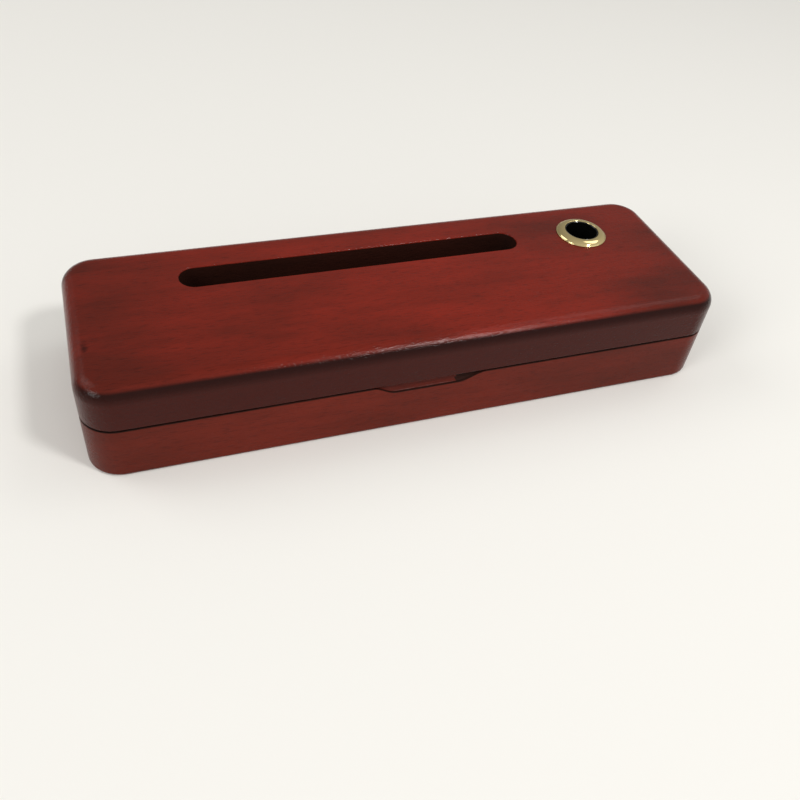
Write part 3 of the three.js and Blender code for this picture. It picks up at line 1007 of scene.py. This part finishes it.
@dataclass
class WoodenLid:
    """The upper half of the box, with the rest slot, the pen hole and the hollow for the pen."""

    rims: Rims
    top_edge: float = 4 * MM
    wall: float = 6 * MM
    recess_back: float = 2.5 * MM
    recess_depth: float = 6.5 * MM
    recess_corner: float = 4 * MM
    slot_length: float = 95 * MM
    slot_width: float = 8.4 * MM
    slot_depth: float = 9 * MM
    slot_rim: float = 0.35 * MM
    hole_radius: float = 6.25 * MM
    eased: float = 0.12 * MM

    def build(self) -> None:
        """Builds and installs the lid."""
        low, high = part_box("lid")
        plan = Outline(low.xy[:], high.xy[:], self.rims.corner, low.z)
        seam = self.rims.seam_edge
        foot = plan.grown(0, low.z + seam).rounded_in(seam, -1, 3)[::-1]
        top = plan.grown(0, high.z - self.top_edge).rounded_in(self.top_edge, 1, 12)
        tools = [
            self.slot_cutter(high.z),
            self.recess_cutter(low, high),
            self.hole_cutter(low.z, high.z),
            self.rims.chamfer_cutter(Body.LID, low.z),
            *[tool for end in End for tool in self.rims.hinge_cutters(Body.LID, end)],
            *self.rims.magnet_cutters(Body.LID),
        ]
        piece = Solid().loft(foot + top).cut(*tools).to_object("rosewood_lid")
        soften(piece, self.eased)
        piece.data.materials.append(LID_WOOD.material())
        piece.data.materials.append(BARE_AND_SHADED_WOOD.material())
        self.mark_cut_faces(piece, low.z, high.z)
        smooth(piece)
        install(piece, Body.LID, "rosewood_lid", LID_WOOD, "lid")

    def slot_cutter(self, top: float) -> Solid:
        """The cutter of the rest slot, with a coved floor and an eased rim.

        Args:
            top: the height of the lid's top.

        Returns:
            The cutter.
        """
        low, high = opening("rest_slot")
        middle = (low + high) / 2
        half = Vector((self.slot_length / 2, self.slot_width / 2))
        mouth = Outline((middle.xy - half)[:], (middle.xy + half)[:],
                        self.slot_width / 2 - HAIR, top - self.slot_rim)
        cove = 0.8 * MM
        floor = mouth.grown(0, top - self.slot_depth + cove).rounded_in(cove, -1, 4)[::-1]
        return Solid().loft(floor + mouth.flared_out(self.slot_rim, 1), corner_steps=20)

    def recess_cutter(self, low: Vector, high: Vector) -> Solid:
        """The cutter of the hollow over the pen, with a coved ceiling and an eased rim.

        Args:
            low: the lid's lowest corner.
            high: its highest corner.

        Returns:
            The cutter.
        """
        edge, cove = self.rims.mouth_edge, 1.2 * MM
        mouth = Outline((low.x + self.wall, low.y + self.wall),
                        (high.x - self.wall, self.recess_back), self.recess_corner,
                        low.z + edge)
        ceiling = mouth.grown(0, low.z + self.recess_depth - cove).rounded_in(cove, 1, 4)[::-1]
        return Solid().loft(ceiling + mouth.flared_out(edge, -1))

    def hole_cutter(self, bottom: float, top: float) -> Solid:
        """The cutter of the hole that the sleeve and the ferrule's neck fill.

        Args:
            bottom: the height of the lid's rim.
            top: the height of the lid's top.

        Returns:
            The cutter.
        """
        centre, past = node_centre("pen_hole_sleeve"), 2 * MM
        return Solid().rod(self.hole_radius, Vector((centre.x, centre.y, bottom - past)),
                           Vector((centre.x, centre.y, top + past)), 96)

    def mark_cut_faces(self, piece: bpy.types.Object, bottom: float, top: float) -> None:
        """Gives the rim and the walls of the slot and of the hole the darker unlacquered wood,
        which is partly painted shade.

        Args:
            piece: the lid.
            bottom: the height of the lid's rim.
            top: the height of the lid's top.
        """
        low, high = opening("rest_slot")
        slot, hole = (low + high) / 2, node_centre("pen_hole_sleeve")
        rim, reach, bare_and_shade = top - self.slot_rim, 0.3 * MM, 1
        for face in piece.data.polygons:
            middle = face.center
            in_slot = (abs(middle.x - slot.x) < self.slot_length / 2 + reach
                       and abs(middle.y - slot.y) < self.slot_width / 2 + reach
                       and middle.z > top - self.slot_depth - reach)
            in_hole = (middle.xy - hole.xy).length < self.hole_radius + reach
            # Painted shade: the rim and the slot and hole walls get the darker wood.
            if middle.z < bottom + self.rims.bare_and_shade or middle.z < rim and (in_slot or in_hole):
                face.material_index = bare_and_shade


@dataclass
class PenHole:
    """The plated ferrule on the lid and the moulded sleeve under it."""

    bore: float = 4.55 * MM
    rolled: float = 0.16 * MM
    flat_ring: float = 0.3 * MM
    crown: float = 0.18 * MM
    flange_drop: float = 0.12 * MM
    flange_edge: float = 0.38 * MM
    flange_round: float = 0.22 * MM
    undercut: float = 0.04 * MM
    bed: float = 0.06 * MM
    neck_depth: float = 4 * MM
    sleeve_wall: float = 0.36 * MM
    fit: float = 0.03 * MM
    play: float = 0.3 * MM
    proud: float = 0.1 * MM

    def build(self) -> None:
        """Builds and installs both pieces."""
        low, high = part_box("pen_hole_ferrule")
        seat = Vector((*((low + high) / 2).xy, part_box("lid")[1].z))
        ferrule = Solid().turned(self.ferrule_profile(low, high, seat.z), seat, 128)
        piece = ferrule.to_object("plated_ferrule")
        smooth(piece, 30)
        install(piece, Body.LID, "gold_plate", GOLD_PLATE, "pen_hole_ferrule")
        sleeve = Solid().turned(self.sleeve_profile(seat.z), seat, 128).to_object("black_sleeve")
        smooth(sleeve, 30)
        install(sleeve, Body.LID, "black_plastic", BLACK_ABS, "pen_hole_sleeve")

    def ferrule_profile(self, low: Vector, high: Vector, seat: float
                        ) -> list[tuple[float, float]]:
        """The ferrule's section: a low crowned cone between a rolled rim and a thin edge.

        Args:
            low: the CAD ferrule's lowest corner.
            high: its highest corner.
            seat: the height of the lid's top.

        Returns:
            Distances from the axis and heights above the seat.
        """
        outer, top = (high.x - low.x) / 2, high.z - seat
        sleeve_low, sleeve_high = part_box("pen_hole_sleeve")
        neck, inner = (sleeve_high.x - sleeve_low.x) / 2, self.bore + self.sleeve_wall
        rim = [(inner + self.rolled * (1 - math.cos(turn)),
                top - self.rolled * (1 - math.sin(turn))) for turn in turns(6)]
        start, end, steps = inner + self.flat_ring, outer - self.flange_round, 13
        cone = []
        for step in range(1, steps):
            share = step / steps
            drop = share * (top - self.flange_edge - self.flange_drop)
            cone.append((start + share * (end - start),
                         top - drop + self.crown * math.sin(math.pi * share)))
        upright = 0.45
        edge = [(outer - self.flange_round * (1 - math.sin(turn)),
                 self.flange_edge * (upright + (1 - upright) * math.cos(turn)))
                for turn in turns(5)]
        return [
            *rim, (start, top), *cone, *edge,
            (outer - self.undercut, self.bed), (neck, self.bed), (neck, -self.neck_depth),
            (inner, -self.neck_depth),
        ]

    def sleeve_profile(self, seat: float) -> list[tuple[float, float]]:
        """The sleeve's section: a thin wall inside the ferrule over a thick foot.

        Args:
            seat: the height of the lid's top.

        Returns:
            Distances from the axis and heights above the seat.
        """
        low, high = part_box("pen_hole_sleeve")
        foot, edge = (high.x - low.x) / 2, 0.12 * MM
        bottom, top = low.z - seat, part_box("pen_hole_ferrule")[1].z - seat - self.proud
        shoulder = -self.neck_depth - self.play
        wall = self.bore + self.sleeve_wall - self.fit
        return [
            (self.bore, bottom + edge), (self.bore + edge, bottom), (foot - edge, bottom),
            (foot, bottom + edge), (foot, shoulder), (wall, shoulder), (wall, top - edge),
            (wall - edge, top), (self.bore + edge, top), (self.bore, top - edge),
        ]


@dataclass
class PenTray:
    """The flocked insert with its grooves, and the cup under the pen hole."""

    pen_radius: float = 7.2 * MM
    pen_length: float = 148 * MM
    pen_axis: float = 11.8 * MM
    refill_radius: float = 5 * MM
    refill_length: float = 108 * MM
    refill_axis: float = 11.2 * MM
    relief_low: tuple[float, float] = (-17 * MM, -19.3 * MM)
    relief_high: tuple[float, float] = (17 * MM, 4 * MM)
    relief_corner: float = 9 * MM
    relief_cove: float = 2.5 * MM
    relief_floor: float = 7.5 * MM
    corner: float = 3.7 * MM
    pile: float = 0.5 * MM
    cup_hole: float = 6.1 * MM
    cup_body: float = 5.8 * MM
    cup_wall: float = 1.1 * MM
    cup_floor: float = 1.0 * MM

    def build(self) -> None:
        """Builds and installs the tray and the cup."""
        low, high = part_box("pen_tray")
        block = Outline(low.xy[:], high.xy[:], self.corner, low.z)
        tray = Solid().loft([block, block.grown(0, high.z)])
        cup_low, cup_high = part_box("pen_socket")
        cup, above = (cup_low + cup_high) / 2, 20 * MM
        tray.cut(
            self.groove(opening("pen_groove"), self.pen_radius, self.pen_length, self.pen_axis),
            self.groove(opening("refill_groove"), self.refill_radius, self.refill_length,
                        self.refill_axis),
            self.relief(high.z),
            Solid().rod(self.cup_hole, Vector((cup.x, cup.y, 0)), Vector((cup.x, cup.y, above)),
                        64),
        )
        piece = tray.to_object("flocked_tray")
        skin = piece.modifiers.new("flocked skin", "REMESH")
        skin.mode, skin.voxel_size, skin.use_smooth_shade = "VOXEL", self.pile, True
        settled = piece.modifiers.new("soft edges", "SMOOTH")
        settled.factor, settled.iterations = 0.5, 5
        settle(piece)
        install(piece, Body.BASE, "tray_flock", FLOCK, "pen_tray")
        socket = Solid().turned(self.cup_profile(cup_low, cup_high),
                                Vector((cup.x, cup.y, cup_low.z)), 96, closed=False)
        piece = socket.to_object("socket_cup")
        smooth(piece, 30)
        install(piece, Body.BASE, "black_plastic", BLACK_ABS, "pen_socket")

    def groove(self, room: tuple[Vector, Vector], radius: float, length: float, axis: float
               ) -> Solid:
        """A cutter with a round belly, round ends and upright sides above its axis.

        Args:
            room: the opening that the groove makes.
            radius: the groove's radius.
            length: its length from end to end.
            axis: the height of its axis.

        Returns:
            The cutter.
        """
        middle = ((room[0] + room[1]) / 2).xy
        half = Vector((length / 2, radius))
        brim = Outline((middle - half)[:], (middle + half)[:], radius - HAIR, axis)
        belly, above = brim.rounded_in(radius, -1, 10)[:-1], 10 * MM
        return Solid().loft(belly[::-1] + [brim.grown(0, axis + above)], corner_steps=16)

    def relief(self, top: float) -> Solid:
        """The cutter of the finger relief across the pen groove.

        Args:
            top: the height of the tray's top.

        Returns:
            The cutter.
        """
        plan = Outline(self.relief_low, self.relief_high, self.relief_corner,
                       self.relief_floor + self.relief_cove)
        bowl = plan.rounded_in(self.relief_cove, -1, 6)[::-1]
        return Solid().loft(bowl + [plan.grown(0.3 * MM, top), plan.grown(1 * MM, top + 1 * MM)])

    def cup_profile(self, low: Vector, high: Vector) -> list[tuple[float, float]]:
        """The cup's section, from the middle of its foot round to the middle of its floor.

        Args:
            low: the CAD cup's lowest corner.
            high: its highest corner.

        Returns:
            Distances from the axis and heights above the foot.
        """
        tall, flange, body = high.z - low.z, (high.x - low.x) / 2, self.cup_body
        lip, edge, cove = 0.6 * MM, 0.2 * MM, 0.8 * MM
        inner = body - self.cup_wall
        return [
            (0, 0), (body - edge, 0), (body, edge), (body, tall - lip), (flange, tall - lip),
            (flange, tall - edge), (flange - edge, tall), (inner + edge, tall),
            (inner, tall - edge), (inner, self.cup_floor + cove),
            (inner - cove, self.cup_floor), (0, self.cup_floor),
        ]


@dataclass
class LidLining:
    """The padded velvet lining in the lid's hollow, sewn into channels across its length."""

    inset: float = 0.5 * MM
    corner: float = 3.4 * MM
    skin: float = 0.8 * MM
    seams: int = 9
    border: float = 2.6 * MM
    swell: float = 0.9 * MM
    pressure: float = 4.0
    steps: int = 20
    bench: float = 10.0
    stitch: float = 1.5 * MM
    stitch_gap: float = 0.7 * MM
    thread: float = 0.17 * MM

    def build(self) -> None:
        """Builds and installs the lining."""
        low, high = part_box("lid_lining")
        piece = self.cut_pad(low, high)
        self.fill_pad(piece, low, high)
        self.sew(piece, low, high)
        smooth(piece, 80)
        piece.data.materials.append(VELVET.material())
        piece.data.materials.append(THREAD.material())
        install(piece, Body.LID, "lining_velvet", VELVET, "lid_lining")

    def seam_places(self, low: Vector, high: Vector) -> list[float]:
        """Where the seams across the lining are, along X."""
        pitch = (high.x - low.x) / (self.seams + 1)
        return [low.x + pitch * number for number in range(1, self.seams + 1)]

    def cut_pad(self, low: Vector, high: Vector) -> bpy.types.Object:
        """The pad before it is filled, with an even skin.

        Args:
            low: the CAD lining's lowest corner.
            high: its highest corner.

        Returns:
            The pad.
        """
        edge, under_board = 0.6 * MM, 0.02 * MM
        foot = Outline((low.x + self.inset, low.y + self.inset),
                       (high.x - self.inset, high.y - self.inset), self.corner,
                       low.z + self.swell + edge)
        rings = foot.rounded_in(edge, -1, 3)[::-1] + [foot.grown(0, high.z - under_board)]
        piece = Solid().loft(rings).to_object("velvet_lining")
        skin = piece.modifiers.new("even skin", "REMESH")
        skin.mode, skin.voxel_size, skin.use_smooth_shade = "VOXEL", self.skin, True
        settle(piece)
        return piece

    def is_sewn(self, point: Vector, low: Vector, high: Vector) -> bool:
        """Whether a point of the pad is held by the board, the border or a seam.

        Args:
            point: the point.
            low: the CAD lining's lowest corner.
            high: its highest corner.

        Returns:
            True if it is held.
        """
        seam, face = 0.7 * self.skin, low.z + self.swell + 0.5 * MM
        near_seam = min(abs(point.x - x) for x in self.seam_places(low, high)) < seam
        inside = min(point.x - low.x, high.x - point.x, point.y - low.y, high.y - point.y)
        return point.z > face or near_seam or inside < self.border

    def fill_pad(self, piece: bpy.types.Object, low: Vector, high: Vector) -> None:
        """Swells the pad between its seams with a cloth simulation, worked at bench scale.

        Args:
            piece: the pad.
            low: the CAD lining's lowest corner.
            high: its highest corner.
        """
        start = [vertex.co.copy() for vertex in piece.data.vertices]
        sewn = piece.vertex_groups.new(name="sewn")
        held = [v.index for v in piece.data.vertices if self.is_sewn(v.co, low, high)]
        sewn.add(held, 1.0, "REPLACE")
        piece.data.transform(Matrix.Scale(self.bench, 4))
        cloth = piece.modifiers.new("cloth", "CLOTH")
        cloth.settings.vertex_group_mass = sewn.name
        cloth.settings.use_pressure = True
        cloth.settings.uniform_pressure_force = self.pressure
        cloth.settings.effector_weights.gravity = 0
        cloth.point_cache.frame_start, cloth.point_cache.frame_end = 1, self.steps
        scene = bpy.context.scene
        for step in range(1, self.steps + 1):
            scene.frame_set(step)
        settle(piece)
        scene.frame_set(1)
        piece.data.transform(Matrix.Scale(1 / self.bench, 4))
        for vertex, was in zip(piece.data.vertices, start):
            moved = vertex.co - was
            if moved.length > self.swell:
                vertex.co = was + moved.normalized() * self.swell
        finer = piece.modifiers.new("finer", "SUBSURF")
        finer.levels = finer.render_levels = 1
        settle(piece)

    def sew(self, piece: bpy.types.Object, low: Vector, high: Vector) -> None:
        """Adds the thread along every seam and along the border.

        Args:
            piece: the pad, which gets the thread as its second material.
            low: the CAD lining's lowest corner.
            high: its highest corner.
        """
        level = low.z + self.swell - 0.3 * self.thread
        front, back = low.y + self.border, high.y - self.border
        runs = [(Vector((x, front, level)), Vector((x, back, level)))
                for x in self.seam_places(low, high)]
        left, right = low.x + self.border, high.x - self.border
        corners = [Vector((left, front, level)), Vector((right, front, level)),
                   Vector((right, back, level)), Vector((left, back, level))]
        runs += list(zip(corners, corners[1:] + corners[:1]))
        with reshaping(piece) as pad:
            for start, end in runs:
                self.stitch_run(pad, start, end)

    def stitch_run(self, pad: bmesh.types.BMesh, start: Vector, end: Vector) -> None:
        """Adds one straight run of stitches, each a short fat thread with round ends.

        Args:
            pad: the mesh that gets the stitches.
            start: where the run starts.
            end: where the run ends.
        """
        count = max(1, int((end - start).length / (self.stitch + self.stitch_gap)))
        turn = (end - start).to_track_quat("X", "Z")
        size = Vector((self.stitch / 2, self.thread, self.thread))
        for number in range(count):
            place = start.lerp(end, (number + 0.5) / count)
            made = bmesh.ops.create_icosphere(
                pad, subdivisions=1, radius=1, matrix=Matrix.LocRotScale(place, turn, size))
            for face in {f for vertex in made["verts"] for f in vertex.link_faces}:
                face.material_index = 1


@dataclass
class ButtHinge:
    """One brass butt hinge: a leaf let into each half, a pin and four countersunk screws."""

    end: End
    rims: Rims
    reach: float = 5.8 * MM
    clearance: float = 1.9 * MM
    lug: float = 1 * MM
    middle_knuckle: float = 8 * MM
    knuckle_gap: float = 0.3 * MM
    pin_play: float = 0.05 * MM
    pin_dome: float = 0.25 * MM
    eased: float = 0.08 * MM
    screw_spacing: float = 12 * MM
    screw_back: float = 3.8 * MM
    screw_play: float = 0.12 * MM
    head: float = 1.3 * MM
    shank: float = 0.7 * MM
    length: float = 5.2 * MM
    pitch: float = 0.5 * MM

    def build(self) -> None:
        """Builds and installs the hinge's seven pieces."""
        for half in Body:
            self.build_leaf(half)
            for letter in "ab":
                self.build_screw(half, letter)
        self.build_pin()

    def knuckles(self, half: Body, low: float, high: float) -> list[tuple[float, float]]:
        """Where one leaf's knuckles start and end along X.

        Args:
            half: the half that the leaf is let into.
            low: where the barrel starts.
            high: where it ends.

        Returns:
            Each knuckle's start and end.
        """
        middle, reach = (low + high) / 2, self.middle_knuckle / 2
        if half is Body.LID:
            return [(middle - reach, middle + reach)]
        gap = self.knuckle_gap
        return [(low, middle - reach - gap), (middle + reach + gap, high)]

    def build_leaf(self, half: Body) -> None:
        """Builds and installs one leaf.

        Args:
            half: the half that it is let into.
        """
        node = f"{self.end.value}_hinge_{half.value}_leaf"
        low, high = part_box(node)
        axis_y, axis_z = self.rims.hinge_y, self.rims.seam
        near = axis_z + half.away * self.rims.leaf_gap
        levels = sorted((near, near + half.away * self.rims.leaf))
        plate = Solid().block(Vector((low.x, axis_y - self.reach, levels[0])),
                              Vector((high.x, axis_y - self.clearance, levels[1])))
        barrel = (high.z - low.z) / 2
        lugs, lug_y = [], axis_y - self.clearance - self.lug
        for start, end in self.knuckles(half, low.x, high.x):
            lugs.append(Solid().block(Vector((start, lug_y, levels[0])),
                                      Vector((end, axis_y, levels[1]))))
            lugs.append(Solid().rod(barrel, Vector((start, axis_y, axis_z)),
                                    Vector((end, axis_y, axis_z)), 40))
        past = Vector((1 * MM, 0, 0))
        pin_low, pin_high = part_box(f"{self.end.value}_hinge_pin")
        bore = Solid().rod((pin_high.z - pin_low.z) / 2 + self.pin_play,
                           Vector((low.x, axis_y, axis_z)) - past,
                           Vector((high.x, axis_y, axis_z)) + past, 32)
        sinks = [self.countersink(half, (low.x + high.x) / 2 + offset, near)
                 for offset in (-self.screw_spacing / 2, self.screw_spacing / 2)]
        piece = plate.join(*lugs).cut(bore, *sinks).to_object(f"brass_{node}")
        soften(piece, self.eased, 40)
        smooth(piece)
        install(piece, half, "hinge_brass", HINGE_BRASS, node)

    def countersink(self, half: Body, x: float, near: float) -> Solid:
        """The cutter of one screw hole.

        Args:
            half: the half that the leaf is let into.
            x: the hole's place along X.
            near: the height of the leaf's open face.

        Returns:
            The cutter.
        """
        wide, narrow = self.head + self.screw_play, self.shank + self.screw_play
        open_side, far_side = -0.5 * MM, self.rims.leaf + 0.5 * MM
        cone_top, cone_foot = 0.08 * MM, self.rims.leaf - 0.05 * MM
        depths = [(0, open_side), (wide, open_side), (wide, cone_top), (narrow, cone_foot),
                  (narrow, far_side), (0, far_side)]
        profile = [(across, half.away * depth) for across, depth in depths]
        centre = Vector((x, self.rims.hinge_y - self.screw_back, near))
        return Solid().turned(profile, centre, 40)

    def build_screw(self, half: Body, letter: str) -> None:
        """Builds and installs one countersunk screw with a driver slot.

        Args:
            half: the half that it holds.
            letter: the screw's letter in the frame.
        """
        node = f"{self.end.value}_{half.value}_screw_{letter}"
        low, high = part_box(node)
        edge, wall, cone, thread_top = 0.06 * MM, 0.12 * MM, 0.75 * MM, -1.3 * MM
        root, tip, taper = self.shank * 0.8, self.shank * 0.75, 1.2 * MM
        ridges = []
        for number in range(5):
            level = thread_top - self.pitch * number
            ridges += [(self.shank, level), (root, level - self.pitch / 2)]
        profile = [(0, 0), (self.head - edge, 0), (self.head, -edge), (self.head, -wall),
                   (self.shank, -cone), *ridges, (tip, -self.length + taper), (0, -self.length)]
        screw = Solid().turned(profile, Vector(), 28, closed=False)
        slot = Vector((self.head + 0.5 * MM, 0.2 * MM, 0.3 * MM))
        screw.cut(Solid().block(-slot, slot))
        middle = ((low + high) / 2).xy
        place = Matrix.Translation((*middle, high.z if half is Body.BASE else low.z))
        if half is Body.LID:
            place = place @ Matrix.Rotation(math.pi, 4, "X")
        piece = screw.moved(place).to_object(f"brass_{node}")
        smooth(piece, 30)
        install(piece, half, "screw_brass", SCREW_BRASS, node)

    def build_pin(self) -> None:
        """Builds and installs the pin, with its ends domed."""
        node = f"{self.end.value}_hinge_pin"
        low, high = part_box(node)
        radius, half, dome = (high.z - low.z) / 2, (high.x - low.x) / 2, self.pin_dome
        end = [(radius * math.cos(turn), half - dome + dome * math.sin(turn))
               for turn in turns(5)]
        profile = [(r, -z) for r, z in end[::-1]] + end
        lay = Matrix.Translation((low + high) / 2) @ Matrix.Rotation(math.pi / 2, 4, "Y")
        pin = Solid().turned(profile, Vector(), 32, closed=False).moved(lay)
        piece = pin.to_object(f"brass_{node}")
        smooth(piece, 30)
        install(piece, Body.BASE, "hinge_brass", HINGE_BRASS, node)


@dataclass
class CatchMagnets:
    """The four disc magnets that hold the lid shut, let in flush at the front corners."""

    edge: float = 0.15 * MM

    def build(self) -> None:
        """Builds and installs the four discs."""
        edge, bend = self.edge, 0.3 * self.edge
        for end in End:
            for half in Body:
                node = f"{end.value}_{half.value}_magnet"
                low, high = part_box(node)
                radius, tall = (high.x - low.x) / 2, high.z - low.z
                profile = [(0, 0), (radius - edge, 0), (radius - bend, bend), (radius, edge),
                           (radius, tall - edge), (radius - bend, tall - bend),
                           (radius - edge, tall), (0, tall)]
                disc = Solid().turned(profile, Vector((*((low + high) / 2).xy, low.z)), 48,
                                      closed=False)
                piece = disc.to_object(f"nickel_{node}")
                smooth(piece, 20)
                install(piece, half, "magnet_nickel", NICKEL, node)


@dataclass
class Studio:
    """A pale paper floor, four soft lamps, a pale surround that is brightest in front of the case,
    and the camera."""

    eye: Vector = field(default_factory=lambda: Vector((-0.07253, -0.16656, 0.15582)))
    aim: Vector = field(default_factory=lambda: Vector((-0.0105, -0.03069, 0.0135)))
    tilt: float = math.radians(-7.63)
    lens: float = 37.46
    sensor: float = 36.0
    paper: float = 6.0
    surround: tuple[float, float] = (0.27, 0.76)
    bright_side: tuple[float, float, float] = (0.35, -0.94, 0.0)

    def build(self) -> None:
        """Lays the floor, hangs the lamps and sets the camera."""
        self.lay_floor()
        self.hang_lamp("ceiling_lamp", Vector((0.27, -0.36, 0.62)), 0.12, 53.0)
        self.hang_lamp("side_lamp", Vector((-0.95, -0.42, 0.60)), 0.5, 6.6)
        self.hang_lamp("overhead_lamp", Vector((0.52, 0.13, 0.73)), 0.42, 1.5)
        self.hang_lamp("rear_fill", Vector((-0.85, 0.55, 0.90)), 0.8, 2.0)
        self.light_surround()
        self.set_camera()

    def lay_floor(self) -> None:
        """Lays the paper under the case."""
        sheet = Solid()
        bmesh.ops.create_grid(sheet.mesh, x_segments=1, y_segments=1, size=self.paper / 2)
        floor = sheet.to_object("paper_floor")
        floor.data.materials.append(PAPER.material())

    def hang_lamp(self, name: str, place: Vector, size: float, radiance: float) -> None:
        """Hangs a round soft lamp that points at the case.

        Args:
            name: the lamp's name.
            place: where it hangs.
            size: its diameter.
            radiance: how bright its face is, in watts per square metre and steradian.
        """
        lamp = bpy.data.lights.new(name, "AREA")
        lamp.shape, lamp.size = "DISK", size
        lamp.energy = radiance * math.pi * math.pi * size * size / 4
        lamp.color = (1.0, 0.99, 0.975)
        hung = bpy.data.objects.new(name, lamp)
        hung.location = place
        hung.rotation_euler = (-place).to_track_quat("-Z", "Y").to_euler()
        bpy.context.scene.collection.objects.link(hung)

    def light_surround(self) -> None:
        """Makes the surroundings pale, brightest in front of the case and dimmest behind it."""
        world = bpy.data.worlds.new("pale_surround")
        world.use_nodes = True
        tree = world.node_tree
        way = add_node(tree, "ShaderNodeTexCoord", {})
        facing = add_node(tree, "ShaderNodeVectorMath", {
            0: way.outputs["Generated"], 1: self.bright_side}, operation="DOT_PRODUCT")
        strength = add_node(tree, "ShaderNodeMapRange", {
            "Value": facing.outputs["Value"], "From Min": -1.0,
            "To Min": self.surround[0], "To Max": self.surround[1]})
        backdrop = tree.nodes["Background"]
        backdrop.inputs["Color"].default_value = srgb("f6f4f0")
        tree.links.new(strength.outputs[0], backdrop.inputs["Strength"])
        bpy.context.scene.world = world

    def set_camera(self) -> None:
        """Sets the camera above the front left corner, looking down along the lid."""
        seen = bpy.data.cameras.new("camera")
        seen.lens, seen.sensor_width = self.lens, self.sensor
        seen.clip_start, seen.clip_end = 0.005, 50
        seen.dof.use_dof = False
        camera = bpy.data.objects.new("camera", seen)
        gaze = self.aim - self.eye
        turn = Quaternion(gaze.normalized(), self.tilt) @ gaze.to_track_quat("-Z", "Y")
        camera.matrix_world = Matrix.LocRotScale(self.eye, turn, None)
        bpy.context.scene.collection.objects.link(camera)
        bpy.context.scene.camera = camera
        bpy.context.scene.view_settings.view_transform = "Standard"


def main() -> None:
    """Builds every sub-assembly, then the studio."""
    logging.basicConfig(level=logging.INFO, format="%(message)s")
    rims = Rims()
    hinges = [ButtHinge(end, rims) for end in End]
    for part in (WoodenBase(rims), WoodenLid(rims), PenHole(), PenTray(), LidLining(), *hinges,
                 CatchMagnets()):
        LOG.info("building %s", type(part).__name__)
        part.build()
    Studio().build()
    bpy.context.view_layer.update()


if __name__ == "__main__":
    main()
